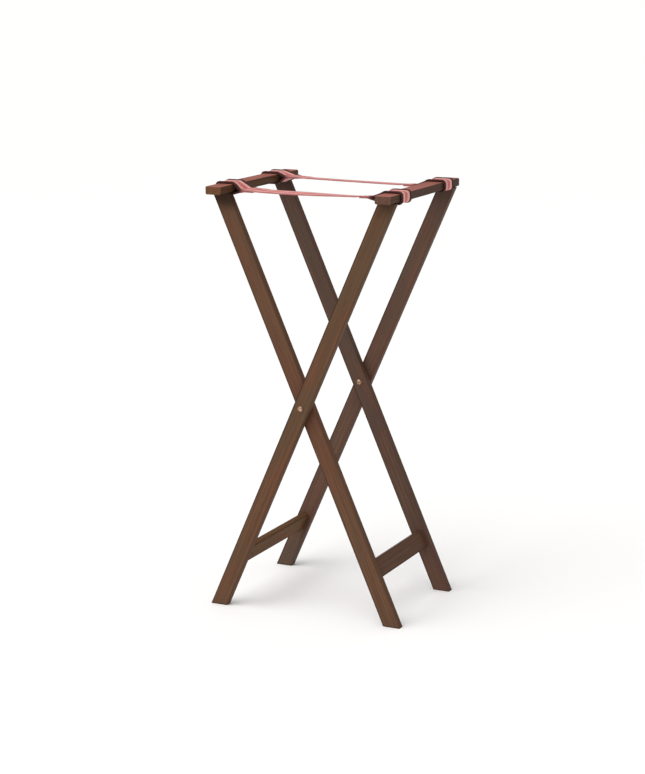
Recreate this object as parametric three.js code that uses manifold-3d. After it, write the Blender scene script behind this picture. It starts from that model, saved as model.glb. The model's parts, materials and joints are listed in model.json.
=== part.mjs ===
// Tall folding stand: two wooden frames cross at a pair of pivots, and two webbing straps hold them open.
// Millimetres, +Z up. X is the direction the frames spread in, Y runs along the top rails.
// The origin is on the floor, under the middle of the stand.

import * as THREE from 'three';
import { mergeVertices } from 'three/addons/utils/BufferGeometryUtils.js';
import Module from 'manifold-3d';

const wasm = await Module();
wasm.setup();

// ---------------------------------------------------------------- driving dimensions

const GAP = 0.3; // clearance between neighbouring pieces

const PIVOT_HEIGHT = 390; // both frames' legs cross here
const LEG_SLOPE = 0.44; // sideways run of a leg for each unit of height
const LEG_WIDTH = 30;
const LEG_THICKNESS = 15;
const LEG_EDGE_RADIUS = 1.4;
const OUTER_LEG_Y = 133.5; // middle of an outer leg's thickness
const INNER_LEG_Y = 116.9;

const RAIL_X = 164.8;
const RAIL_WIDTH = 32;
const RAIL_HEIGHT = 15;
const RAIL_LENGTH = 307;
const RAIL_BOTTOM = 765.8;
const RAIL_EDGE_RADIUS = 3;

const STRETCHER_DROP = 321; // from the pivot down along the legs to the board's middle
const STRETCHER_WIDTH = 34.5;
const STRETCHER_THICKNESS = 12;
const STRETCHER_EDGE_RADIUS = 1.2;
const DOWEL_RADIUS = 3;
const DOWEL_LENGTH = 20;
const DOWEL_SPACING = 17;
const DOWEL_CHAMFER = 0.8;
const RAIL_DOWEL_RADIUS = 4;
const RAIL_DOWEL_LENGTH = 28;
const RAIL_DOWEL_X = 162.5;
const RAIL_DOWEL_DEPTH = 10; // length of the dowel inside the rail

const SLEEVE_RADIUS = 3.25; // barrel nut's sleeve, the journal that the inner leg turns on
const SLEEVE_BORE = 2.5;
const SCREW_RADIUS = 2;
const SCREW_REACH = 20; // length of pivot screw inside the sleeve
const PIVOT_HEAD_RADIUS = 4.5;
const PIVOT_HEAD_HEIGHT = 2.4;
const WASHER_RADIUS = 5.2;
const WASHER_THICKNESS = 1;
const SLOT_WIDTH = 1.1;
const SLOT_DEPTH = 0.9;
const BORE_CUT = 60; // length of the tool that bores a leg at its pivot

const STRAP_WIDTH = 42;
const STRAP_THICKNESS = 2.2;
const WRAP_THICKNESS = 2.6; // webbing wound round a rail
const WRAP_Y_INNER_RAIL = 88; // strap's middle on the inner frame's rail
const WRAP_Y_OUTER_RAIL = 96;
const STRAP_HEIGHTS = {
  // middle of each strap where it leaves a frame's rail
  front: { inner: 769.4, outer: 770.5 },
  rear: { inner: 774.7, outer: 770.3 },
};
const LOOP_LENGTH = 13; // the two plies of a strap end meet this far from the wrap
const LOOP_SPREAD = 6.4; // half the distance between the two plies at the wrap
const LOOP_NOTCH = 4; // the fork's inside corner, past the point where the plies meet

const TACK_HEAD_RADIUS = 4.5;
const TACK_HEAD_HEIGHT = 1.3;
const TACK_CROWN_RADIUS = 2.5; // flatter middle of the head
const TACK_CROWN_HEIGHT = 1;
const TACK_SHANK_RADIUS = 0.9;
const TACK_LENGTH = 12;

const ROUND_SEGMENTS = 24;
const CORNER_SEGMENTS = 4;
const DOME_SEGMENTS = 6;
const MERGE_DISTANCE = 1e-4;
const HALF_TURN = Math.PI;
const QUARTER_TURN = Math.PI / 2;

const TILT = Math.atan(LEG_SLOPE);
const RAIL_TOP = RAIL_BOTTOM + RAIL_HEIGHT;
const RAIL_MIDDLE = RAIL_BOTTOM + RAIL_HEIGHT / 2;
const LEG_TOP = RAIL_BOTTOM - GAP;
const FRAMES = [
  { name: 'outer', side: 1, legY: OUTER_LEG_Y, wrapY: WRAP_Y_OUTER_RAIL },
  { name: 'inner', side: -1, legY: INNER_LEG_Y, wrapY: WRAP_Y_INNER_RAIL },
];
const ENDS = [
  { name: 'front', sign: -1 },
  { name: 'rear', sign: 1 },
];

// ---------------------------------------------------------------- materials

function material(name, color, roughness, metalness) {
  return new THREE.MeshStandardMaterial({ name, color, roughness, metalness });
}

const WALNUT = () => material('walnut', 0x6b4634, 0.45, 0);
const BIRCH = () => material('birch', 0xc9a878, 0.6, 0);
const STEEL = () => material('steel', 0xc8bcae, 0.3, 1);
const BRASS = () => material('brass', 0xb08d4f, 0.35, 1);
const WEBBING = () => material('webbing', 0xc9686b, 0.9, 0);

// ---------------------------------------------------------------- solids

function toSolid(geometry) {
  const bare = geometry.index ? geometry.toNonIndexed() : geometry.clone();
  bare.deleteAttribute('normal');
  bare.deleteAttribute('uv');
  const merged = mergeVertices(bare, MERGE_DISTANCE);
  const mesh = new wasm.Mesh({
    numProp: 3,
    vertProperties: new Float32Array(merged.attributes.position.array),
    triVerts: new Uint32Array(merged.index.array),
  });
  return new wasm.Manifold(mesh);
}

function toGeometry(solid) {
  const mesh = solid.getMesh();
  const geometry = new THREE.BufferGeometry();
  geometry.setAttribute('position', new THREE.BufferAttribute(mesh.vertProperties, 3));
  geometry.setIndex(new THREE.BufferAttribute(mesh.triVerts, 1));
  return geometry;
}

function cutFrom(geometry, tools) {
  let solid = toSolid(geometry);
  for (const tool of tools) {
    solid = solid.subtract(toSolid(tool));
  }
  return toGeometry(solid);
}

function addMesh(group, name, geometry, finish) {
  const mesh = new THREE.Mesh(geometry, finish);
  mesh.name = name;
  group.add(mesh);
}

// Rectangle with round corners, centred on the origin.
function roundedRectangle(path, width, height, radius) {
  const x = width / 2 - radius;
  const y = height / 2 - radius;
  path.absarc(x, y, radius, 0, QUARTER_TURN);
  path.absarc(-x, y, radius, QUARTER_TURN, HALF_TURN);
  path.absarc(-x, -y, radius, HALF_TURN, HALF_TURN + QUARTER_TURN);
  path.absarc(x, -y, radius, -QUARTER_TURN, 0);
  path.closePath();
  return path;
}

// Bar of a rounded section, centred on the origin, with its length along Z.
function bar(width, height, length, radius) {
  const section = roundedRectangle(new THREE.Shape(), width, height, radius);
  const options = { depth: length, bevelEnabled: false, curveSegments: CORNER_SEGMENTS };
  return new THREE.ExtrudeGeometry(section, options).translate(0, 0, -length / 2);
}

// The same bar with its end edges eased too.
function easedBar(width, height, length, radius, ease) {
  const section = roundedRectangle(new THREE.Shape(), width, height, radius);
  const options = {
    depth: length - 2 * ease,
    bevelEnabled: true,
    bevelThickness: ease,
    bevelSize: ease,
    bevelOffset: -ease,
    bevelSegments: CORNER_SEGMENTS,
    curveSegments: CORNER_SEGMENTS,
  };
  return new THREE.ExtrudeGeometry(section, options).translate(0, 0, ease - length / 2);
}

// Turned piece about the Y axis from [radius, height] pairs that start and end on the axis.
function turned(profile) {
  const points = profile.map(([radius, height]) => new THREE.Vector2(radius, height));
  return new THREE.LatheGeometry(points, ROUND_SEGMENTS);
}

function rod(radius, length) {
  return new THREE.CylinderGeometry(radius, radius, length, ROUND_SEGMENTS);
}

// ---------------------------------------------------------------- where things are

// Point on a frame's lower half: drop is measured down along the leg from the pivot.
function pointDownLeg(side, drop) {
  return {
    x: -side * drop * Math.sin(TILT),
    z: PIVOT_HEIGHT - drop * Math.cos(TILT),
  };
}

function dowelDrops() {
  return [
    { name: 'upper', drop: STRETCHER_DROP - DOWEL_SPACING / 2 },
    { name: 'lower', drop: STRETCHER_DROP + DOWEL_SPACING / 2 },
  ];
}

// ---------------------------------------------------------------- fastener shapes, each with a clearance

function dowelShape(size, length, clearance) {
  const radius = size + clearance;
  const half = length / 2 + clearance;
  return turned([
    [0, -half],
    [radius - DOWEL_CHAMFER, -half],
    [radius, DOWEL_CHAMFER - half],
    [radius, half - DOWEL_CHAMFER],
    [radius - DOWEL_CHAMFER, half],
    [0, half],
  ]);
}

// Domed tack, standing on Z with its head down and the underside of its head at the given height.
function tackShape(clearance, seat) {
  const shank = TACK_SHANK_RADIUS + clearance;
  return turned([
    [0, seat - TACK_HEAD_HEIGHT],
    [TACK_CROWN_RADIUS, seat - TACK_CROWN_HEIGHT],
    [TACK_HEAD_RADIUS, seat],
    [shank, seat],
    [shank, seat + TACK_LENGTH - 2 * shank],
    [0, seat + TACK_LENGTH],
  ]).rotateX(QUARTER_TURN);
}

// ---------------------------------------------------------------- wooden parts

// A dowel straddles the joint between a leg's top and the rail on it.
function placedRailDowel(frame, end, clearance) {
  const middle = RAIL_BOTTOM + RAIL_DOWEL_DEPTH - RAIL_DOWEL_LENGTH / 2;
  const dowel = dowelShape(RAIL_DOWEL_RADIUS, RAIL_DOWEL_LENGTH, clearance).rotateX(QUARTER_TURN);
  return dowel.translate(frame.side * RAIL_DOWEL_X, end.sign * frame.legY, middle);
}

// Another pair straddles the joint between a leg's inside face and the stretcher's end.
function placedDowel(frame, end, drop, clearance) {
  const place = pointDownLeg(frame.side, drop);
  const jointY = frame.legY - LEG_THICKNESS / 2;
  const dowel = dowelShape(DOWEL_RADIUS, DOWEL_LENGTH, clearance);
  return dowel.translate(place.x, end.sign * jointY, place.z);
}

// Sloping leg, sawn level at the floor and under the rail.
function legBlank(frame, end) {
  const stock = bar(LEG_WIDTH, LEG_THICKNESS, 2 * RAIL_TOP, LEG_EDGE_RADIUS);
  stock.rotateY(frame.side * TILT);
  stock.translate(0, end.sign * frame.legY, PIVOT_HEIGHT);
  const keep = new THREE.BoxGeometry(2 * RAIL_TOP, 2 * RAIL_LENGTH, LEG_TOP).translate(0, 0, LEG_TOP / 2);
  return toGeometry(toSolid(stock).intersect(toSolid(keep)));
}

function legGeometry(frame, end) {
  const tools = [pivotBore(end), placedRailDowel(frame, end, GAP)];
  for (const { drop } of dowelDrops()) {
    tools.push(placedDowel(frame, end, drop, GAP));
  }
  return cutFrom(legBlank(frame, end), tools);
}

function railGeometry(frame) {
  const stock = easedBar(RAIL_WIDTH, RAIL_HEIGHT, RAIL_LENGTH, RAIL_EDGE_RADIUS, RAIL_EDGE_RADIUS / 2);
  stock.rotateX(QUARTER_TURN);
  stock.translate(frame.side * RAIL_X, 0, RAIL_MIDDLE);
  const tools = [];
  for (const end of ENDS) {
    tools.push(placedRailDowel(frame, end, GAP));
    tools.push(placedTack(frame, end, GAP));
  }
  return cutFrom(stock, tools);
}

function stretcherLength(frame) {
  return 2 * (frame.legY - LEG_THICKNESS / 2 - GAP);
}

function stretcherGeometry(frame) {
  const stock = bar(STRETCHER_THICKNESS, STRETCHER_WIDTH, stretcherLength(frame), STRETCHER_EDGE_RADIUS);
  const middle = pointDownLeg(frame.side, STRETCHER_DROP);
  stock.rotateX(QUARTER_TURN);
  stock.rotateY(frame.side * TILT);
  stock.translate(middle.x, 0, middle.z);
  const tools = [];
  for (const end of ENDS) {
    for (const { drop } of dowelDrops()) {
      tools.push(placedDowel(frame, end, drop, GAP));
    }
  }
  return cutFrom(stock, tools);
}

// ---------------------------------------------------------------- pivots

// Distances along Y from the middle of the stand, outside to inside, for the front or the rear pivot.
const PIVOT_STACK = {
  outerFace: OUTER_LEG_Y + LEG_THICKNESS / 2,
  spacer: (OUTER_LEG_Y + INNER_LEG_Y) / 2,
  innerFace: INNER_LEG_Y - LEG_THICKNESS / 2,
};

function pivotBore(end) {
  const bore = rod(SLEEVE_RADIUS + GAP, BORE_CUT);
  return bore.translate(0, end.sign * PIVOT_STACK.spacer, PIVOT_HEIGHT);
}

// Low domed head on the Y axis, with its flat side at y = 0 and its crown at +y.
function domePoints() {
  const points = [];
  for (let step = 0; step < DOME_SEGMENTS; step += 1) {
    const turn = (QUARTER_TURN * step) / DOME_SEGMENTS;
    points.push([PIVOT_HEAD_RADIUS * Math.cos(turn), PIVOT_HEAD_HEIGHT * Math.sin(turn)]);
  }
  return [...points, [0, PIVOT_HEAD_HEIGHT]];
}

function slotted(geometry, crown) {
  const slot = new THREE.BoxGeometry(2 * WASHER_RADIUS, 2 * SLOT_DEPTH, SLOT_WIDTH);
  return cutFrom(geometry, [slot.translate(0, crown, 0)]);
}

// Barrel nut: domed head at +y, sleeve running to -y and open at its end.
function barrelNut() {
  const sleeveEnd = PIVOT_STACK.innerFace + 2 * GAP - PIVOT_STACK.outerFace - WASHER_THICKNESS;
  const boreEnd = -WASHER_THICKNESS;
  return turned([
    [0, boreEnd],
    [SLEEVE_BORE, boreEnd],
    [SLEEVE_BORE, sleeveEnd],
    [SLEEVE_RADIUS, sleeveEnd],
    [SLEEVE_RADIUS, 0],
    ...domePoints(),
  ]);
}

// Screw: domed head at +y, shank running to -y inside the sleeve.
function pivotScrew() {
  return turned([
    [0, -SCREW_REACH],
    [SCREW_RADIUS, -SCREW_REACH],
    [SCREW_RADIUS, 0],
    ...domePoints(),
  ]);
}

function washerGeometry() {
  const shape = new THREE.Shape();
  shape.absarc(0, 0, WASHER_RADIUS, 0, 2 * HALF_TURN);
  const hole = new THREE.Path();
  hole.absarc(0, 0, SLEEVE_RADIUS + GAP, 0, 2 * HALF_TURN, true);
  shape.holes.push(hole);
  const options = { depth: WASHER_THICKNESS, bevelEnabled: false, curveSegments: ROUND_SEGMENTS / 2 };
  const washer = new THREE.ExtrudeGeometry(shape, options);
  return washer.translate(0, 0, -WASHER_THICKNESS / 2).rotateX(QUARTER_TURN);
}

function addPivot(group, end) {
  const outward = end.sign > 0 ? 0 : HALF_TURN;
  const seatOuter = PIVOT_STACK.outerFace + WASHER_THICKNESS + 2 * GAP;
  const seatInner = PIVOT_STACK.innerFace - WASHER_THICKNESS - 2 * GAP;
  const nut = barrelNut().rotateX(outward).translate(0, end.sign * seatOuter, PIVOT_HEIGHT);
  addMesh(group, `pivot_barrel_nut_${end.name}`, nut, STEEL());
  const screw = slotted(pivotScrew(), PIVOT_HEAD_HEIGHT).rotateX(HALF_TURN - outward);
  addMesh(group, `pivot_screw_${end.name}`, screw.translate(0, end.sign * seatInner, PIVOT_HEIGHT), STEEL());
  const washers = {
    nut: PIVOT_STACK.outerFace + GAP + WASHER_THICKNESS / 2,
    spacer: PIVOT_STACK.spacer,
    screw: PIVOT_STACK.innerFace - GAP - WASHER_THICKNESS / 2,
  };
  for (const [place, y] of Object.entries(washers)) {
    const washer = washerGeometry().translate(0, end.sign * y, PIVOT_HEIGHT);
    addMesh(group, `pivot_washer_${place}_${end.name}`, washer, STEEL());
  }
}

// ---------------------------------------------------------------- straps

const WRAP_REACH = WRAP_THICKNESS + GAP; // wrap's outside face beyond the rail's face
const WRAP_INSIDE_X = RAIL_X - RAIL_WIDTH / 2 - WRAP_REACH;

function grownRailSection(path, by) {
  return roundedRectangle(path, RAIL_WIDTH + 2 * by, RAIL_HEIGHT + 2 * by, RAIL_EDGE_RADIUS + by);
}

// Webbing wound round a rail: a closed ring with its axis along Y.
function wrapGeometry(frame, end) {
  const ring = grownRailSection(new THREE.Shape(), WRAP_REACH);
  ring.holes.push(grownRailSection(new THREE.Path(), GAP));
  const options = { depth: STRAP_WIDTH, bevelEnabled: false, curveSegments: CORNER_SEGMENTS };
  const wrap = new THREE.ExtrudeGeometry(ring, options).translate(0, 0, -STRAP_WIDTH / 2);
  wrap.rotateX(QUARTER_TURN);
  wrap.translate(frame.side * RAIL_X, end.sign * frame.wrapY, RAIL_MIDDLE);
  return cutFrom(wrap, [placedTack(frame, end, GAP)]);
}

function placedTack(frame, end, clearance) {
  const seat = RAIL_BOTTOM - WRAP_REACH - GAP;
  return tackShape(clearance, seat).translate(frame.side * RAIL_X, end.sign * frame.wrapY, 0);
}

// Strap between the rails, seen along Y: a flat band whose ends fork into the two plies of a sewn loop.
function spanOutline() {
  const end = WRAP_INSIDE_X - GAP;
  const joint = end - LOOP_LENGTH;
  const half = STRAP_THICKNESS / 2;
  const right = [
    [joint, half],
    [end, LOOP_SPREAD + half],
    [end, LOOP_SPREAD - half],
    [joint + LOOP_NOTCH, 0],
    [end, half - LOOP_SPREAD],
    [end, -half - LOOP_SPREAD],
    [joint, -half],
  ];
  const left = right.map(([x, z]) => [-x, z]).reverse();
  return [...right, ...left].map(([x, z]) => new THREE.Vector2(x, z)).reverse();
}

function spanGeometry(end) {
  const options = { depth: STRAP_WIDTH, bevelEnabled: false };
  const span = new THREE.ExtrudeGeometry(new THREE.Shape(spanOutline()), options);
  span.translate(0, 0, -STRAP_WIDTH / 2);
  span.rotateX(QUARTER_TURN);
  const heights = STRAP_HEIGHTS[end.name];
  const place = span.attributes.position;
  for (let i = 0; i < place.count; i += 1) {
    const share = (1 + place.getX(i) / WRAP_INSIDE_X) / 2;
    const aside = THREE.MathUtils.lerp(WRAP_Y_INNER_RAIL, WRAP_Y_OUTER_RAIL, share);
    place.setY(i, place.getY(i) + end.sign * aside);
    place.setZ(i, place.getZ(i) + THREE.MathUtils.lerp(heights.inner, heights.outer, share));
  }
  return span;
}

// ---------------------------------------------------------------- assembly

function addFrame(group, frame) {
  addMesh(group, `top_rail_${frame.name}`, railGeometry(frame), WALNUT());
  addMesh(group, `stretcher_${frame.name}`, stretcherGeometry(frame), WALNUT());
  for (const end of ENDS) {
    const tag = `${frame.name}_${end.name}`;
    addMesh(group, `leg_${tag}`, legGeometry(frame, end), WALNUT());
    addMesh(group, `rail_dowel_${tag}`, placedRailDowel(frame, end, 0), BIRCH());
    for (const { name, drop } of dowelDrops()) {
      addMesh(group, `stretcher_dowel_${tag}_${name}`, placedDowel(frame, end, drop, 0), BIRCH());
    }
    addMesh(group, `strap_wrap_${tag}`, wrapGeometry(frame, end), WEBBING());
    addMesh(group, `strap_tack_${tag}`, placedTack(frame, end, 0), BRASS());
  }
}

const stand = new THREE.Group();
for (const frame of FRAMES) {
  addFrame(stand, frame);
}
for (const end of ENDS) {
  addPivot(stand, end);
  addMesh(stand, `strap_span_${end.name}`, spanGeometry(end), WEBBING());
}

export default stand;
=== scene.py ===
import json
import math
import random

import bmesh
import bpy
from mathutils import Matrix, Vector, noise


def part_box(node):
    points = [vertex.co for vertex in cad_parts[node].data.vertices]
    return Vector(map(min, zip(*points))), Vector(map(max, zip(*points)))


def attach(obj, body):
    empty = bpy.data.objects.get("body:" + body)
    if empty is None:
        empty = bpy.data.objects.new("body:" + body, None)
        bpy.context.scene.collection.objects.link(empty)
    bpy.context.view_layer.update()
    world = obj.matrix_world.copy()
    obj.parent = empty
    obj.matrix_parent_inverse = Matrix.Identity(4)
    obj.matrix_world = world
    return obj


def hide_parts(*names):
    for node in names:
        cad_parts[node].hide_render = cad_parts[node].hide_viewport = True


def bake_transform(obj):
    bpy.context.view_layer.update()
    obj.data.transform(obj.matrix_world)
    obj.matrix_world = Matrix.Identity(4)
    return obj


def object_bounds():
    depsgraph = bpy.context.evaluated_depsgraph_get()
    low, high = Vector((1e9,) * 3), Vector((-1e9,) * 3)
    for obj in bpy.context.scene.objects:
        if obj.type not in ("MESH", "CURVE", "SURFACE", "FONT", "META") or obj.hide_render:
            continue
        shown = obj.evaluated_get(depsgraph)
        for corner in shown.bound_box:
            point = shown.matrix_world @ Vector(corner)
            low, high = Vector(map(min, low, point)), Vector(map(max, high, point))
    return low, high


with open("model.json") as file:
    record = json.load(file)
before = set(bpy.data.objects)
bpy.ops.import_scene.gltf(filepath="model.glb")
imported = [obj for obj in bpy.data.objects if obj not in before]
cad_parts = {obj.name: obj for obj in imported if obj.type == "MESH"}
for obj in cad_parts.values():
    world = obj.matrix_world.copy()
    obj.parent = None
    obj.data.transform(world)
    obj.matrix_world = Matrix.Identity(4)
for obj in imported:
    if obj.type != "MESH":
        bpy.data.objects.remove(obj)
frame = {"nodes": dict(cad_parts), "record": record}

# Folding stand: two crossed wooden frames, joined at the top by two webbing straps.
# Metres, in the CAD's frame: X is the direction the frames spread in, Y runs along the top rails.

CAD_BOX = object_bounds()
RECORD = frame["record"]
PIVOT = Vector(RECORD["behaviour"]["joints"][0]["pos_m"])
MOUNTS = {m["name"]: Vector(m["pos_m"]) for m in RECORD["mounts"]}
BODY = {"outer": "outer_frame", "inner": "inner_frame"}
SIDE = {"outer": 1, "inner": -1}
SIGN = {"front": -1, "rear": 1}
X = Vector((1, 0, 0))
Y = Vector((0, 1, 0))
scene = bpy.context.scene


# ------------------------------------------------------------------ camera


CAMERA_PLACE = (1.5525, -3.2524, 1.2015)
CAMERA_TURN = (25.87, 12.51, 0.13)  # azimuth, elevation and roll, in degrees
SENSOR_WIDTH = 36  # millimetres, as is the lens
LENS = 93.09
VIEW_DEPTH = 200


def make_camera():
    azimuth, elevation, roll = (math.radians(v) for v in CAMERA_TURN)
    right = Vector((math.cos(azimuth), math.sin(azimuth), 0))
    level = Vector((math.sin(azimuth), -math.cos(azimuth), 0))
    back = level * math.cos(elevation) + Vector((0, 0, math.sin(elevation)))
    up = back.cross(right)
    x = right * math.cos(roll) - up * math.sin(roll)
    y = right * math.sin(roll) + up * math.cos(roll)
    camera = bpy.data.objects.new("camera", bpy.data.cameras.new("camera"))
    scene.collection.objects.link(camera)
    turned = Matrix((x, y, back)).transposed().to_4x4()
    camera.matrix_world = Matrix.Translation(CAMERA_PLACE) @ turned
    camera.data.sensor_width = SENSOR_WIDTH
    camera.data.lens = LENS
    camera.data.clip_end = VIEW_DEPTH
    scene.camera = camera


make_camera()


# ------------------------------------------------------------------ node trees


class Tree:
    """A material's node tree, written as short expressions."""

    def __init__(self, name):
        self.material = bpy.data.materials.new(name)
        self.material.use_nodes = True
        self.tree = self.material.node_tree
        self.tree.nodes.clear()
        output = self.add("ShaderNodeOutputMaterial")
        self.shader = self.add("ShaderNodeBsdfPrincipled")
        self.tree.links.new(self.shader.outputs[0], output.inputs["Surface"])

    def add(self, kind, **settings):
        node = self.tree.nodes.new(kind)
        for key, value in settings.items():
            setattr(node, key, value)
        return node

    def put(self, socket, value):
        """Links a socket to another, or gives it a constant."""
        if isinstance(value, bpy.types.NodeSocket):
            self.tree.links.new(value, socket)
        else:
            socket.default_value = value

    def math(self, operation, *values):
        node = self.add("ShaderNodeMath", operation=operation)
        for socket, value in zip(node.inputs, values):
            self.put(socket, value)
        return node.outputs[0]

    def plus(self, a, b):
        return self.math("ADD", a, b)

    def minus(self, a, b):
        return self.math("SUBTRACT", a, b)

    def times(self, a, b):
        return self.math("MULTIPLY", a, b)

    def magnitude(self, a):
        return self.math("ABSOLUTE", a)

    def ramp(self, value, low, high, to_low=0.0, to_high=1.0):
        """A smooth step from to_low, where the value is low, to to_high, where it is high."""
        node = self.add("ShaderNodeMapRange", interpolation_type="SMOOTHSTEP")
        for socket, v in zip(node.inputs, (value, low, high, to_low, to_high)):
            self.put(socket, v)
        return node.outputs[0]

    def mix(self, factor, a, b, blend="MIX"):
        node = self.add("ShaderNodeMix", data_type="RGBA", blend_type=blend)
        self.put(node.inputs[0], factor)
        self.put(node.inputs[6], a)
        self.put(node.inputs[7], b)
        return node.outputs[2]

    def mapped(self, vector, scale, location=(0, 0, 0)):
        node = self.add("ShaderNodeMapping")
        self.put(node.inputs["Vector"], vector)
        node.inputs["Scale"].default_value = scale
        node.inputs["Location"].default_value = location
        return node.outputs[0]

    def noise(self, vector, scale, detail=3.0, rough=0.5, distortion=0.0):
        node = self.add("ShaderNodeTexNoise")
        self.put(node.inputs["Vector"], vector)
        settings = {"Scale": scale, "Detail": detail, "Roughness": rough, "Distortion": distortion}
        for key, value in settings.items():
            node.inputs[key].default_value = value
        return node.outputs["Fac"]

    def attribute(self, name):
        return self.add("ShaderNodeAttribute", attribute_name=name).outputs["Vector"]

    def parts(self, vector):
        node = self.add("ShaderNodeSeparateXYZ")
        self.put(node.inputs[0], vector)
        return node.outputs

    def object_place(self):
        return self.add("ShaderNodeTexCoord").outputs["Object"]

    def bump(self, height, strength, distance):
        node = self.add("ShaderNodeBump")
        node.inputs["Strength"].default_value = strength
        node.inputs["Distance"].default_value = distance
        self.put(node.inputs["Height"], height)
        return node.outputs[0]

    def finish(self, **values):
        for key, value in values.items():
            self.put(self.shader.inputs[key.replace("_", " ")], value)
        return self.material


def rgb(r, g, b):
    """The linear colour of an 8-bit display colour."""
    def linear(v):
        v /= 255
        return v / 12.92 if v <= 0.04045 else ((v + 0.055) / 1.055) ** 2.4
    return (linear(r), linear(g), linear(b), 1)


def tinted(colour, r, g, b):
    return (colour[0] * r, colour[1] * g, colour[2] * b, 1)


def scaled(colour, k):
    return tinted(colour, k, k, k)


# ------------------------------------------------------------------ materials


LEG_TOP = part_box("leg_outer_front")[1].z
# painted sheen on the rails' upper faces
RAIL_TOP_SHEEN = rgb(160, 98, 88)
# painted shade on the rails' long sides
RAIL_SIDE_SHADE = (0.6, 0.64, 0.62, 1)
# each pair holds the distances over which a change comes or goes
# painted shadow at a leg's top, under the rail
SHADOW_UNDER_RAIL = (0.036, 0.01)  # from a leg's top
# painted shade along a leg's foot, where it meets the floor
SHADE_AT_FLOOR = (0.0008, 0.0028)
ARRIS_DARKENING = (0.0008, 0.0036)  # from a board's arris
WORN_EDGE = (0.0004, 0.0014)
FLANK_EDGE = (0.0024, 0.0004)  # inside a rail's long side
TOP_EDGE = (0.0014, 0.0004)  # under its upper face
SPARED_ARRIS_ACROSS = (-0.004, 0.0)  # from a leg's middle, towards its front arris on the +X side, which is left almost without the darkening
SPARED_ARRIS_THICK = (-0.003, 0.0)
RAIL_MIDDLE = (-0.002, 0.002)  # round the middle of a rail's thickness
EDGE_DEPTH = {"leg": 0.78, "rail": 0.78, "stretcher": 0.35}  # how dark the edges are made


def figure(t, g, seed):
    """The wood's markings, each from 0 to 1. They are drawn out along the grain."""
    rng = random.Random(seed)
    place = [rng.uniform(-3, 3) for _ in range(3)]
    other = place[::-1]
    # the growth rings' middle lies outside the board
    pith = (rng.uniform(0.03, 0.07), rng.uniform(-0.05, -0.02), rng.uniform(-4, 4))
    rings = t.add("ShaderNodeTexWave", wave_type="RINGS", rings_direction="Z", wave_profile="SAW")
    t.put(rings.inputs["Vector"], t.mapped(g, (1, 1, 0.05), pith))
    settings = {"Scale": 62, "Distortion": 5.0, "Detail": 3, "Detail Scale": 0.5, "Detail Roughness": 0.6}
    for key, value in settings.items():
        rings.inputs[key].default_value = value
    return {
        "late": t.ramp(rings.outputs["Fac"], 0.35, 1.0),
        "fibre": t.noise(t.mapped(g, (1, 1, 0.03), place), 900, 4, 0.65),
        "streak": t.noise(t.mapped(g, (1, 1, 0.05), place), 160, 3, 0.55, 0.4),
        "cloud": t.noise(t.mapped(g, (1, 1, 0.35), place), 14, 2, 0.5),
        "patch": t.noise(t.mapped(g, (1, 1, 0.3), other), 20, 2, 0.5),
        "pore": t.ramp(t.noise(t.mapped(g, (1, 1, 0.035), other), 1700, 2, 0.5), 0.62, 0.72),
        "rubbed": t.ramp(t.noise(t.mapped(g, (1, 1, 0.5), place), 60, 4, 0.6), 0.6, 0.72),
    }


def stained(t, wood, tone):
    """The stain over the figure: redder in some places, greyer in others."""
    light, dark = scaled(tone, 1.25), tinted(tone, 0.72, 0.66, 0.62)
    red, grey = tinted(tone, 1.2, 0.96, 0.97), tinted(tone, 0.8, 1.02, 1.1)
    colour = t.mix(t.times(wood["late"], 0.5), light, dark)
    colour = t.mix(t.times(t.ramp(wood["streak"], 0.4, 0.68), 0.5), colour, dark)
    colour = t.mix(t.ramp(wood["fibre"], 0.3, 0.75, 0.0, 0.35), colour, scaled(tone, 0.8))
    colour = t.mix(t.ramp(wood["cloud"], 0.45, 0.62, 0.0, 0.45), colour, red)
    colour = t.mix(t.ramp(wood["patch"], 0.48, 0.62, 0.0, 0.5), colour, grey)
    return t.mix(t.times(wood["pore"], 0.55), colour, scaled(tone, 0.35))


def rail_faces(t, wood, colour, across, thick, size):
    """A rail has painted shade on its long sides, and a painted pinkish sheen on its upper face."""
    side, top = size[0] / 2, size[1] / 2
    # painted shade on the long sides
    side_shade = t.ramp(t.magnitude(across), side - FLANK_EDGE[0], side - FLANK_EDGE[1])
    colour = t.mix(side_shade, colour, RAIL_SIDE_SHADE, "MULTIPLY")
    # painted sheen on the upper face, made uneven by the wood's figure
    upper = t.ramp(thick, top - TOP_EDGE[0], top - TOP_EDGE[1])
    uneven = t.ramp(t.plus(wood["cloud"], wood["streak"]), 0.7, 1.25, 0.95, 0.6)
    return t.mix(t.times(upper, uneven), colour, RAIL_TOP_SHEEN)


def leg_ends(t, colour, tone, rail_shadow_depth):
    """A leg has a painted shadow under the rail, and a painted dark line of shade at its foot, where it
    meets the floor.
    """
    height = t.parts(t.object_place())[2]
    # painted shadow at the leg's top, under the rail
    rail_shadow_mask = t.ramp(height, LEG_TOP - SHADOW_UNDER_RAIL[0], LEG_TOP - SHADOW_UNDER_RAIL[1])
    # painted shade along the foot, where it meets the floor
    foot = t.ramp(height, *SHADE_AT_FLOOR, 0.75, 0.0)
    return t.mix(t.math("MAXIMUM", t.times(rail_shadow_mask, rail_shadow_depth), foot), colour, scaled(tone, 0.3))


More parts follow.
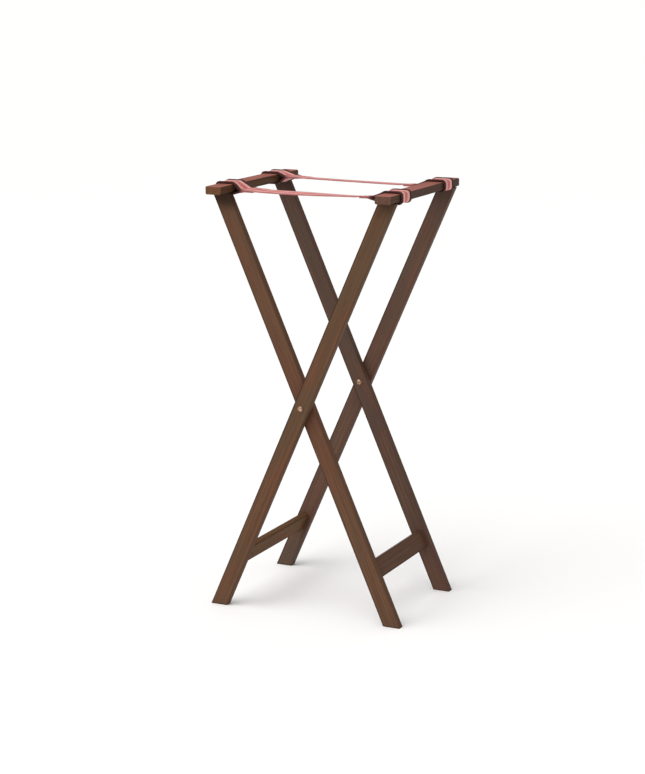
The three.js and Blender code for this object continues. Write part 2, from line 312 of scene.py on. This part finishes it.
def arris_darkening(t, from_edge, across, thick, kind):
    """How much darker a board is made along its arrises."""
    edge = t.ramp(from_edge, *ARRIS_DARKENING, EDGE_DEPTH[kind], 0.0)
    if kind == "leg":
        # the arris at each leg's front and +X side is left almost without this darkening
        near = t.ramp(across, *SPARED_ARRIS_ACROSS, 1.0, 0.0)
        spared_arris = t.times(near, t.ramp(thick, *SPARED_ARRIS_THICK, 1.0, 0.0))
        edge = t.times(edge, t.ramp(spared_arris, 0.0, 1.0, 1.0, 0.1))
    if kind == "rail":
        # and a rail's upper arrises have little of theirs
        edge = t.times(edge, t.ramp(thick, *RAIL_MIDDLE, 1.0, 0.2))
    return edge


def walnut(name, size, seed, tone, kind, rail_shadow_depth=0):
    """Stained and varnished board. size is its section (across, thick).

    The grain attribute holds a point's place in the board's own directions (across, thick, along).
    The last argument is how dark the painted shadow is at a leg's top, under the rail.
    """
    t = Tree(name)
    g = t.attribute("grain")
    across, thick = t.parts(g)[0:2]
    wood = figure(t, g, seed)
    colour = stained(t, wood, tone)
    if kind == "rail":
        colour = rail_faces(t, wood, colour, across, thick, size)
    if kind == "leg":
        colour = leg_ends(t, colour, tone, rail_shadow_depth)
    sides = [t.minus(extent / 2, t.magnitude(part)) for extent, part in zip(size, (across, thick))]
    from_edge = t.math("MAXIMUM", *sides)
    colour = t.mix(arris_darkening(t, from_edge, across, thick, kind), colour, scaled(tone, 0.22))
    worn = t.times(t.ramp(from_edge, *WORN_EDGE, 1.0, 0.0), wood["rubbed"])
    colour = t.mix(t.times(worn, 0.5), colour, tinted(tone, 1.7, 1.6, 1.5))
    scuff = t.noise(t.object_place(), 45, 5, 0.6)
    relief = t.plus(t.times(wood["fibre"], 0.5), t.times(wood["pore"], -0.8))
    relief = t.plus(relief, t.times(wood["late"], -0.15))
    return t.finish(
        Base_Color=colour,
        Roughness=t.plus(t.ramp(scuff, 0.3, 0.75, 0.36, 0.56), t.times(worn, 0.2)),
        Normal=t.bump(relief, 0.35, 0.00015),
        Specular_IOR_Level=0.0,
        Coat_Weight=0.16,
        Coat_Roughness=0.3,
    )


def birch():
    t = Tree("birch")
    g = t.object_place()
    fibre = t.noise(t.mapped(g, (1, 0.06, 1)), 900, 4, 0.6)
    return t.finish(
        Base_Color=t.mix(t.ramp(fibre, 0.3, 0.7), rgb(214, 184, 138), rgb(176, 138, 92)),
        Roughness=t.ramp(fibre, 0.3, 0.7, 0.5, 0.7),
        Normal=t.bump(fibre, 0.3, 0.0001),
    )


def metal(name, light, dark, rough):
    """Plated metal with fine turned marks, dulled in patches."""
    t = Tree(name)
    g = t.object_place()
    marks = t.noise(t.mapped(g, (1, 9, 1)), 700, 3, 0.6)
    dull = t.noise(g, 260, 4, 0.6)
    return t.finish(
        Base_Color=t.mix(t.ramp(dull, 0.4, 0.7), light, dark),
        Metallic=1.0,
        Roughness=t.plus(t.ramp(dull, 0.35, 0.7, rough, rough + 0.22), t.times(marks, 0.08)),
        Normal=t.bump(marks, 0.25, 0.00005),
    )


HALF_WEB = 0.021  # half of the webbing's width
BORDER = 0.0065  # the dark border's width
BORDER_BLUR = 0.0006
CENTRE_STRIPE = 0.0066  # half of its width
CENTRE_BLUR = 0.0014
PIN_STRIPE = 0.0105  # from the middle
PIN_EDGE = (0.0004, 0.0009)  # from the pin stripe's own middle
WANDER = 0.0008  # how far the stripes stray
CORD_PITCH = 0.0014
PICK_PITCH = 0.0011
RIB = 4 * CORD_PITCH  # the herringbone turns after so many cords


def stripes(t, aside, border, tight):
    """The woven pattern. The border is dark where the webbing is tight, and rose between the rails."""
    pale, rose, dark = rgb(243, 176, 166), rgb(196, 84, 90), rgb(46, 27, 20)
    colour = t.mix(t.ramp(aside, CENTRE_STRIPE - CENTRE_BLUR, CENTRE_STRIPE, 1.0, 0.0), pale, rose)
    pins = t.ramp(t.magnitude(t.minus(aside, PIN_STRIPE)), *PIN_EDGE, 1.0, 0.0)
    colour = t.mix(t.times(pins, 0.6), colour, rose)
    return t.mix(border, colour, t.mix(tight, rgb(176, 92, 96), dark))


def herringbone(t, along, across):
    """Warp cords crossed by slanting picks, as a height."""
    cords = t.math("PINGPONG", t.math("DIVIDE", across, CORD_PITCH), 0.5)
    row = t.math("FLOOR", t.math("DIVIDE", across, RIB))
    lean = t.minus(t.times(t.math("MODULO", t.magnitude(row), 2.0), 2.0), 1.0)
    slant = t.times(lean, t.math("DIVIDE", across, CORD_PITCH))
    picks = t.math("PINGPONG", t.plus(t.math("DIVIDE", along, PICK_PITCH), slant), 0.5)
    return t.plus(cords, picks)


def webbing():
    """Striped cotton webbing.

    The band attribute holds (along, across) in metres, then 1 where the webbing is tight round a rail.
    """
    t = Tree("webbing")
    place = t.attribute("band")
    along, across, tight = t.parts(place)[0:3]
    wander = t.times(t.minus(t.noise(place, 120, 2), 0.5), WANDER)
    aside = t.plus(t.magnitude(across), wander)
    border = t.ramp(aside, HALF_WEB - BORDER - BORDER_BLUR, HALF_WEB - BORDER)
    colour = stripes(t, aside, border, tight)
    weave = herringbone(t, along, across)
    fuzz = t.noise(place, 2600, 3, 0.6)
    fade = t.noise(place, 38, 3, 0.5)
    # painted shade in the weave's hollows, darker where the woven height is low
    colour = t.mix(t.ramp(weave, 0.15, 0.75, 0.3, 0.0), colour, rgb(112, 52, 52))
    lit = t.minus(1.0, t.times(border, tight))
    colour = t.mix(t.times(t.ramp(fade, 0.35, 0.7, 0.0, 0.15), lit), colour, rgb(235, 190, 180))
    colour = t.mix(t.times(t.times(fuzz, 0.12), lit), colour, rgb(240, 225, 215))
    return t.finish(
        Base_Color=colour,
        Roughness=t.ramp(fuzz, 0.3, 0.7, 0.72, 0.92),
        Normal=t.bump(t.plus(weave, t.times(fuzz, 0.4)), 0.7, 0.0004),
        Specular_IOR_Level=0.2,
        Sheen_Weight=0.08,
        Sheen_Roughness=0.4,
    )


def thread():
    t = Tree("thread")
    twist = t.noise(t.object_place(), 3500, 2, 0.5)
    colour = t.mix(twist, rgb(228, 170, 160), rgb(180, 96, 96))
    return t.finish(Base_Color=colour, Roughness=0.8, Normal=t.bump(twist, 0.5, 0.0002))


# ------------------------------------------------------------------ pieces from the CAD's own shapes


def finished_mesh(bm, name):
    """The mesh of a bmesh, with its faces turned outward and shaded smooth."""
    bmesh.ops.recalc_face_normals(bm, faces=bm.faces)
    for face in bm.faces:
        face.smooth = True
    mesh = bpy.data.meshes.new(name)
    bm.to_mesh(mesh)
    bm.free()
    return mesh


def new_piece(name, mesh, material):
    piece = bpy.data.objects.new(name, mesh)
    scene.collection.objects.link(piece)
    mesh.materials.clear()
    mesh.materials.append(material)
    return piece


WELD = 3e-6  # points this close are one
FLAT = math.radians(0.8)  # faces that meet at less than this are one
CREASE = math.radians(42)  # rounds whose faces meet at less are shaded smooth
BEVEL_SEGMENTS = 2
BEVEL_PROFILE = 0.6


def refined(node, name, bevel, material, sharp=30):
    """The CAD node's shape with its hard edges eased and its rounds smooth-shaded."""
    bm = bmesh.new()
    bm.from_mesh(frame["nodes"][node].data)
    bmesh.ops.remove_doubles(bm, verts=bm.verts, dist=WELD)
    bmesh.ops.dissolve_limit(bm, angle_limit=FLAT, verts=bm.verts, edges=bm.edges)
    sharpest = math.radians(sharp)
    edges = [e for e in bm.edges if len(e.link_faces) == 2 and e.calc_face_angle(0) > sharpest]
    if bevel and edges:
        bmesh.ops.bevel(
            bm,
            geom=edges,
            offset=bevel,
            segments=BEVEL_SEGMENTS,
            profile=BEVEL_PROFILE,
            affect="EDGES",
            clamp_overlap=True,
        )
    bmesh.ops.triangulate(bm, faces=[f for f in bm.faces if len(f.verts) > 4])
    mesh = finished_mesh(bm, name)
    if "custom_normal" in mesh.attributes:
        mesh.attributes.remove(mesh.attributes["custom_normal"])
    mesh.set_sharp_from_angle(angle=CREASE)
    piece = new_piece(name, mesh, material)
    weighted = piece.modifiers.new("weighted", "WEIGHTED_NORMAL")
    weighted.keep_sharp = True
    return piece


def add_grain(piece, middle, across, thick, along):
    """Stores each point's place in the board's own directions, so that the grain runs along the board."""
    grain = piece.data.attributes.new("grain", "FLOAT_VECTOR", "POINT")
    for i, vertex in enumerate(piece.data.vertices):
        offset = vertex.co - middle
        grain.data[i].vector = (offset.dot(across), offset.dot(thick), offset.dot(along))


def leg_direction(tag, end):
    foot = MOUNTS[f"foot_{tag}_{end}"]
    return Vector((PIVOT.x - foot.x, 0, PIVOT.z - foot.z)).normalized()


STRETCHER_SECTION = (0.0345, 0.012)
BOARD_BEVEL = 0.0006
TONES = {
    "leg_inner_front": rgb(93, 66, 49),
    "leg_outer_front": rgb(93, 66, 48),
    "leg_inner_rear": rgb(86, 65, 54),
    "leg_outer_rear": rgb(90, 68, 56),
    "stretcher_inner": rgb(88, 64, 50),
    "stretcher_outer": rgb(96, 68, 44),
    "top_rail_inner": rgb(98, 66, 45),
    "top_rail_outer": rgb(92, 66, 54),
}
# how dark the painted shadow under the rail is, for each leg
RAIL_SHADOW_DEPTH = {"leg_inner_front": 0.85, "leg_inner_rear": 0.55, "leg_outer_front": 0.35, "leg_outer_rear": 0.2}


def add_leg(tag, end, seed):
    node = f"leg_{tag}_{end}"
    along = leg_direction(tag, end)
    low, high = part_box(node)
    outermost = abs(low.x if tag == "outer" else high.x)
    width = 2 * (outermost - abs(MOUNTS[f"foot_{tag}_{end}"].x)) * along.z
    size = (width, high.y - low.y)
    material = walnut(f"walnut_{node}", size, seed, TONES[node], "leg", RAIL_SHADOW_DEPTH[node])
    piece = refined(node, f"{node}_board", BOARD_BEVEL, material)
    middle = Vector((PIVOT.x, (low.y + high.y) / 2, PIVOT.z))
    add_grain(piece, middle, along.cross(Y), Y, along)
    settle(piece, node, tag)


def add_crosspiece(kind, node, tag, seed):
    low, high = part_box(node)
    rail = kind == "rail"
    across = X if rail else leg_direction(tag, "front")
    size = (high.x - low.x, high.z - low.z) if rail else STRETCHER_SECTION
    material = walnut(f"walnut_{node}", size, seed, TONES[node], kind)
    piece = refined(node, f"{node}_board", BOARD_BEVEL, material)
    add_grain(piece, (low + high) / 2, across, across.cross(Y), Y)
    settle(piece, node, tag)


def add_boards():
    for first, tag in ((1, "outer"), (5, "inner")):
        add_leg(tag, "front", first)
        add_leg(tag, "rear", first + 1)
        add_crosspiece("stretcher", f"stretcher_{tag}", tag, first + 2)
        add_crosspiece("rail", f"top_rail_{tag}", tag, first + 3)


def settle(piece, node, tag):
    """The piece stands for its node and moves with its frame."""
    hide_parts(node)
    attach(piece, BODY[tag])


PIVOT_BEVEL = 0.00015
TACK_BEVEL = 0.0001
METAL_EDGE = 35  # degrees, past which a metal edge is eased


def add_hardware():
    """The pivots, which belong to the outer frame, the tacks and the dowels."""
    steel = metal("steel", rgb(196, 162, 136), rgb(112, 86, 68), 0.3)
    brass = metal("brass", rgb(196, 158, 96), rgb(130, 98, 52), 0.3)
    wood = birch()
    for node in frame["nodes"]:
        tag = "inner" if "_inner_" in node else "outer"
        if node.startswith("pivot_"):
            settle(refined(node, f"{node}_metal", PIVOT_BEVEL, steel, METAL_EDGE), node, tag)
        elif node.startswith("strap_tack"):
            settle(refined(node, f"{node}_metal", TACK_BEVEL, brass, METAL_EDGE), node, tag)
        elif "dowel" in node:
            settle(refined(node, f"{node}_wood", 0, wood), node, tag)


# ------------------------------------------------------------------ straps

WEB = 0.0021  # the webbing's thickness
CLEAR = 0.0005  # between the rail's wood and the webbing
HEM = 0.0017  # how far the dark borders stand up where the webbing is drawn tight
RAIL_ROUND = 0.003
JOIN_X = 0.133  # where an end's two plies meet
SKEW = 0.0045  # that seam isn't quite square to the strap
TAIL_X = 0.107  # the sewn-down end
STEP = 0.0024  # between the strap's rows of points
FINE_STEP = 0.0008  # between the points that are softened first
SOFTENINGS = 6
BEND_STEPS = 8  # round a rail's outer corners
LEAN_STEPS = 6  # and its inner ones
RIBBON_STEPS = 30  # across the webbing
UPPER_PLY = 0.5 * WEB  # heights of the two plies where they are sewn together
UNDER_PLY = -0.56 * WEB
TAIL_RAMP = 0.012  # length over which the upper ply climbs onto the tail
TIGHTENS = (0.012, 0.001)  # an end draws tight between these distances from where its plies meet
FREE_END = 0.015  # the twist and the sag begin to fade this far short of where the plies meet
SKEW_FADE = (0.02, 0.001)  # comes in before the tail, and ends past the wrap's inner side
HEM_RISE = (-0.0001, 0.0012)  # the borders rise between these distances from their inner sides
SELVEDGE = 0.00012  # how far the ribs at the edges stand up
SELVEDGE_FROM = (0.72, 0.78)  # shares of the half width
EDGE_BULGE = 0.0003  # roundness past the flat faces' ends
EDGE_THINNING = 0.55  # share of the thickness that is lost at the very edge
EDGE_ROUNDNESS = 30  # the higher, the closer to the edge it is lost
EDGE_DRAW = 0.004  # share of the width that is lost with it
FACE_DIP = 0.0001  # the face lies so much below the ribs at the edges
WAVE = 0.0004  # sideways unevenness
WAVES = 22  # how often it comes in a metre
WAVE_OFFSET = 7.0  # keeps the two straps' waves apart
TWIST = {
    # degrees, by the place along the strap
    "front": lambda x: -5.0 * smooth(x, -0.03, 0.09),
    "rear": lambda x: -4.5,
}
SAG = {"front": 0.0013, "rear": 0.0005}  # in mid-span
END_SLICE = 0.0001  # points this close to the CAD span's end belong to it
WEB_CREASE = math.radians(60)


def arc(cx, cz, radius, start, stop, steps):
    """Points on a circle, from one angle to another in degrees."""
    turns = (math.radians(start + (stop - start) * i / steps) for i in range(steps + 1))
    return [(cx + radius * math.cos(a), cz + radius * math.sin(a)) for a in turns]


def tangent(run, rise, radius):
    """The slope, in degrees, of a line that starts this far from a circle's middle and touches it."""
    return math.degrees(math.atan2(rise, run) + math.asin(radius / math.hypot(run, rise)))


def half_path(low, high, centre, middle):
    """The strap's line on the +X side in the XZ plane, from mid-span over the rail and back to its tail."""
    radius = RAIL_ROUND + CLEAR + WEB / 2
    left, right = low.x + RAIL_ROUND, high.x - RAIL_ROUND
    bottom, top = low.z + RAIL_ROUND, high.z - RAIL_ROUND

    def point(x, offset):
        return x, centre + (middle - centre) * x / JOIN_X + offset

    line = [point(0.0, 0), point(TAIL_X - TAIL_RAMP, 0), point(TAIL_X, UPPER_PLY), point(JOIN_X, UPPER_PLY)]
    rise = tangent(left - JOIN_X, top - line[-1][1], radius)
    line += arc(left, top, radius, 90 + rise, 90, LEAN_STEPS)
    line += arc(right, top, radius, 90, 0, BEND_STEPS)
    line += arc(right, bottom, radius, 0, -90, BEND_STEPS)
    drop = tangent(left - JOIN_X, point(JOIN_X, UNDER_PLY)[1] - bottom, radius)
    line += arc(left, bottom, radius, -90, -90 - drop, LEAN_STEPS)
    return [*line, point(JOIN_X, UNDER_PLY), point(TAIL_X, UNDER_PLY)]


def resampled(line, step):
    """Points about step apart on a line softened at its bends, with the distance along it."""
    points = [Vector((x, 0, z)) for x, z in line]
    dense = []
    for a, b in zip(points, points[1:]):
        count = max(1, math.ceil((b - a).length / FINE_STEP))
        dense += [a.lerp(b, i / count) for i in range(count)]
    dense.append(points[-1])
    for _ in range(SOFTENINGS):
        inside = [(a + b * 2 + c) / 4 for a, b, c in zip(dense, dense[1:], dense[2:])]
        dense = [dense[0], *inside, dense[-1]]
    total = [0.0]
    for a, b in zip(dense, dense[1:]):
        total.append(total[-1] + (b - a).length)
    count = round(total[-1] / step)
    out, j = [], 0
    for i in range(count + 1):
        at = total[-1] * i / count
        while j < len(total) - 2 and total[j + 1] < at:
            j += 1
        f = (at - total[j]) / max(total[j + 1] - total[j], 1e-12)
        out.append((dense[j].lerp(dense[j + 1], f), at))
    return out


def smooth(value, low, high):
    """A smooth step from 0 at low to 1 at high."""
    t = min(1, max(0, (value - low) / (high - low)))
    return t * t * (3 - 2 * t)


class Strap:
    """One band of webbing: its line, its lean between the two rails and its slight twist."""

    def __init__(self, end):
        self.end = end
        self.sign = SIGN[end]
        low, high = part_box("top_rail_outer")
        heights = {tag: self.end_height(side) for tag, side in SIDE.items()}
        centre = (heights["inner"] + heights["outer"]) / 2
        right = half_path(low, high, centre, heights["outer"])
        left = half_path(low, high, centre, heights["inner"])
        line = [(-x, z) for x, z in reversed(left)] + right[1:]
        self.points = resampled(line, STEP)
        self.length = self.points[-1][1]
        wraps = {tag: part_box(f"strap_wrap_{tag}_{end}") for tag in SIDE}
        self.at = {tag: (box[0].y + box[1].y) / 2 for tag, box in wraps.items()}
        self.reach = wraps["outer"][0].x

    def end_height(self, side):
        """The middle height of the CAD span's end on one side."""
        points = [v.co for v in frame["nodes"][f"strap_span_{self.end}"].data.vertices]
        limit = max(p.x * side for p in points)
        heights = [p.z for p in points if p.x * side > limit - END_SLICE]
        return (min(heights) + max(heights)) / 2

    def frame_at(self, i):
        """The middle of the band at its ith point, and its directions across and out of its face."""
        point, s = self.points[i]
        before = self.points[max(i - 1, 0)][0]
        after = self.points[min(i + 1, len(self.points) - 1)][0]
        along = (after - before).normalized()
        out = Vector((-along.z, 0, along.x))
        share = min(1, max(-1, point.x / self.reach))
        outer, inner = self.at["outer"], self.at["inner"]
        y = (outer + inner) / 2 + share * (outer - inner) / 2
        free = smooth(-abs(point.x), -self.reach, FREE_END - JOIN_X)
        twist = math.radians(TWIST[self.end](point.x)) * free
        upward = 1 if out.z >= 0 else -1
        across = Y * math.cos(twist) + out * upward * math.sin(twist)
        out = out * math.cos(twist) - Y * upward * math.sin(twist)
        wave = WAVE * noise.noise(Vector((s * WAVES, self.sign * WAVE_OFFSET, 0.0)))
        sag = -SAG[self.end] * free * (1 - min(1, (point.x / JOIN_X) ** 2))
        return point + Y * (y + wave) + Vector((0, 0, sag)), across, out

    def tight(self, i):
        """1 where the band is drawn round a rail, and 0 between the rails."""
        return smooth(abs(self.points[i][0].x), JOIN_X - TIGHTENS[0], JOIN_X - TIGHTENS[1])

    def place(self, i, t, h):
        """The point at t across the band and h out of its middle, at its ith row."""
        middle, across, out = self.frame_at(i)
        x = abs(middle.x)
        seam = smooth(x, TAIL_X - SKEW_FADE[0], TAIL_X) * smooth(-x, -self.reach - SKEW_FADE[1], -JOIN_X)
        skew = Vector((SKEW * seam * t / HALF_WEB, 0, 0))
        inside = HALF_WEB - BORDER
        hem = HEM * smooth(abs(t), inside + HEM_RISE[0], inside + HEM_RISE[1]) if h > 0 else 0
        return middle + across * t + skew + out * (h + hem * self.tight(i))


def web_section():
    """(across, height) round the webbing, with selvedges that stand up a little and soft edges."""
    top = []
    for i in range(RIBBON_STEPS + 1):
        t = -1 + 2 * i / RIBBON_STEPS
        edge = 1 - EDGE_THINNING * abs(t) ** EDGE_ROUNDNESS
        width = HALF_WEB * (1 - EDGE_DRAW * (1 - edge))
        height = WEB / 2 - FACE_DIP + SELVEDGE * smooth(abs(t), *SELVEDGE_FROM)
        top.append((t * width, height * edge))
    bottom = [(t, -h) for t, h in reversed(top)]
    return [*top, (HALF_WEB + EDGE_BULGE, 0), *bottom, (-HALF_WEB - EDGE_BULGE, 0)]


def band_mesh(strap):
    """The webbing's closed body. Its band attribute holds (along, across, tight)."""
    section = web_section()
    bm = bmesh.new()
    band = bm.verts.layers.float_vector.new("band")
    rows = []
    for i, (_, s) in enumerate(strap.points):
        row = []
        for t, h in section:
            vertex = bm.verts.new(strap.place(i, t, h))
            vertex[band] = Vector((s, t, strap.tight(i)))
            row.append(vertex)
        rows.append(row)
    close_tube(bm, rows)
    mesh = finished_mesh(bm, f"strap_{strap.end}")
    mesh.set_sharp_from_angle(angle=WEB_CREASE)
    return mesh


def close_tube(bm, rings):
    """Faces between neighbouring rings of points, and one over each end."""
    count = len(rings[0])
    for a, b in zip(rings, rings[1:]):
        for k in range(count):
            n = (k + 1) % count
            bm.faces.new((a[k], a[n], b[n], b[k]))
    bm.faces.new(rings[0][::-1])
    bm.faces.new(rings[-1])


def add_strap(end, web, yarn):
    strap = Strap(end)
    piece = new_piece(f"strap_{end}", band_mesh(strap), web)
    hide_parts(f"strap_span_{end}", f"strap_wrap_inner_{end}", f"strap_wrap_outer_{end}")
    slack(piece)
    sewn = add_stitching(strap, yarn)


def slack(piece):
    """The band's points are moved into the world's frame, with no transform of its own."""
    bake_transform(piece)


def add_straps():
    web = webbing()
    yarn = thread()
    for end in SIGN:
        add_strap(end, web, yarn)


STITCH_PITCH = 0.0034
STITCH_SHARE = (0.14, 0.86)  # of a pitch that shows on the face
STITCH_RADIUS = 0.00036
STITCH_SIDES = 6
STITCH_SHAPE = (
    # share of its length, height over the face, thickness
    (0, -0.0005, 0.6),
    (0.18, 0.0, 1.0),
    (0.5, 0.0002, 1.1),
    (0.82, 0.0, 1.0),
    (1, -0.0005, 0.6),
)
FACING_UP = 0.9  # the least upward share of the face's direction
SEWN = (TAIL_X - 0.001, JOIN_X + 0.001)  # where the two plies lie on each other
SEAM = (TAIL_X + 0.003, JOIN_X - 0.002)  # the sewn box, along the strap
SEAM_EDGE = HALF_WEB - BORDER - 0.002  # and across it
FACE = WEB / 2 + 0.0001  # height of the webbing's upper face


def seam_lines():
    """The sewn box and its cross, as pairs of (along, across) points."""
    near, far = SEAM
    edge = SEAM_EDGE
    box = [
        ((near, -edge), (near, edge)),
        ((far, -edge), (far, edge)),
        ((near, -edge), (far, -edge)),
        ((near, edge), (far, edge)),
    ]
    cross = [((near, -edge), (far, edge)), ((near, edge), (far, -edge))]
    return box + cross


def add_stitching(strap, yarn):
    """Sewn box with a cross at each end of the strap, through the span and the tail."""
    bm = bmesh.new()
    upper = [i for i in range(len(strap.points)) if strap.frame_at(i)[2].z > FACING_UP]
    for side in (-1, 1):
        run = [i for i in upper if SEWN[0] <= strap.points[i][0].x * side <= SEWN[1]]
        run.sort(key=lambda i: strap.points[i][0].x)
        for (xa, ta), (xb, tb) in seam_lines():
            count = max(2, round(math.hypot(xb - xa, tb - ta) / STITCH_PITCH))
            for k in range(count):
                start, stop = (
                    on_band(strap, run, side * (xa + (xb - xa) * f), ta + (tb - ta) * f)
                    for f in ((k + share) / count for share in STITCH_SHARE)
                )
                add_stitch(bm, start, stop)
    name = f"strap_stitching_{strap.end}"
    piece = new_piece(name, finished_mesh(bm, name), yarn)
    slack(piece)
    return piece


def on_band(strap, run, x, t):
    """(point on the band's upper face, direction out of it)"""
    for i, j in zip(run, run[1:]):
        a, b = strap.points[i][0].x, strap.points[j][0].x
        if a <= x <= b:
            f = (x - a) / (b - a)
            return strap.place(i, t, FACE).lerp(strap.place(j, t, FACE), f), strap.frame_at(i)[2]
    i = run[0] if x < strap.points[run[0]][0].x else run[-1]
    return strap.place(i, t, FACE), strap.frame_at(i)[2]


def add_stitch(bm, a, b):
    """One stitch: a short thread that dips into the cloth at both ends."""
    (start, out), (stop, _) = a, b
    along = (stop - start).normalized()
    aside = along.cross(out).normalized()
    turns = [2 * math.pi * k / STITCH_SIDES for k in range(STITCH_SIDES)]
    rings = []
    for share, height, size in STITCH_SHAPE:
        middle = start.lerp(stop, share) + out * height
        radius = STITCH_RADIUS * size
        spokes = (aside * math.cos(turn) + out * math.sin(turn) for turn in turns)
        rings.append([bm.verts.new(middle + spoke * radius) for spoke in spokes])
    close_tube(bm, rings)


# ------------------------------------------------------------------ stage and light


FLOOR_REACH = 90
FLOOR_GAP = 0.0002  # under the feet
FLOOR_WHITE = 0.955


def add_stage():
    bm = bmesh.new()
    for x, y in ((-1, -1), (1, -1), (1, 1), (-1, 1)):
        bm.verts.new((x * FLOOR_REACH, y * FLOOR_REACH, CAD_BOX[0].z - FLOOR_GAP))
    bm.faces.new(bm.verts)
    mesh = bpy.data.meshes.new("floor")
    bm.to_mesh(mesh)
    bm.free()
    t = Tree("floor")
    white = (FLOOR_WHITE, FLOOR_WHITE, FLOOR_WHITE, 1)
    t.finish(Base_Color=white, Roughness=0.9, Specular_IOR_Level=0.1)
    new_piece("floor", mesh, t.material)


def add_area(name, place, target, size, power, colour):
    light = bpy.data.objects.new(name, bpy.data.lights.new(name, "AREA"))
    scene.collection.objects.link(light)
    light.data.shape = "DISK"
    light.data.size = size
    light.data.energy = power
    light.data.color = colour
    light.location = place
    light.rotation_euler = (Vector(target) - Vector(place)).to_track_quat("-Z", "Y").to_euler()


def add_sun(aim, power, softness, colour):
    light = bpy.data.objects.new("sun", bpy.data.lights.new("sun", "SUN"))
    scene.collection.objects.link(light)
    light.data.energy = power
    light.data.angle = math.radians(softness)
    light.data.color = colour
    light.rotation_euler = Vector(aim).to_track_quat("-Z", "Y").to_euler()


ROOM_STRENGTH = 0.6
SUN_AIM = (0.4, 0.7, -1)
SUN_POWER = 1.9
SUN_SOFTNESS = 70  # degrees
SUN_COLOUR = (1, 0.985, 0.96)
KEY_PLACE = (-1.6, -2.2, 3.2)
KEY_TARGET = (0, 0, 0.5)
KEY_SIZE = 1.8
KEY_POWER = 12
KEY_COLOUR = (1, 0.97, 0.93)


def add_light():
    """An even white room, a very soft light from the front left, and a lamp for the highlights."""
    world = bpy.data.worlds.new("studio")
    world.use_nodes = True
    back = world.node_tree.nodes["Background"]
    back.inputs["Color"].default_value = (1, 1, 1, 1)
    back.inputs["Strength"].default_value = ROOM_STRENGTH
    scene.world = world
    scene.view_settings.view_transform = "Standard"
    add_sun(SUN_AIM, SUN_POWER, SUN_SOFTNESS, SUN_COLOUR)
    add_area("key", KEY_PLACE, KEY_TARGET, KEY_SIZE, KEY_POWER, KEY_COLOUR)


add_boards()
add_hardware()
add_straps()
add_stage()
add_light()
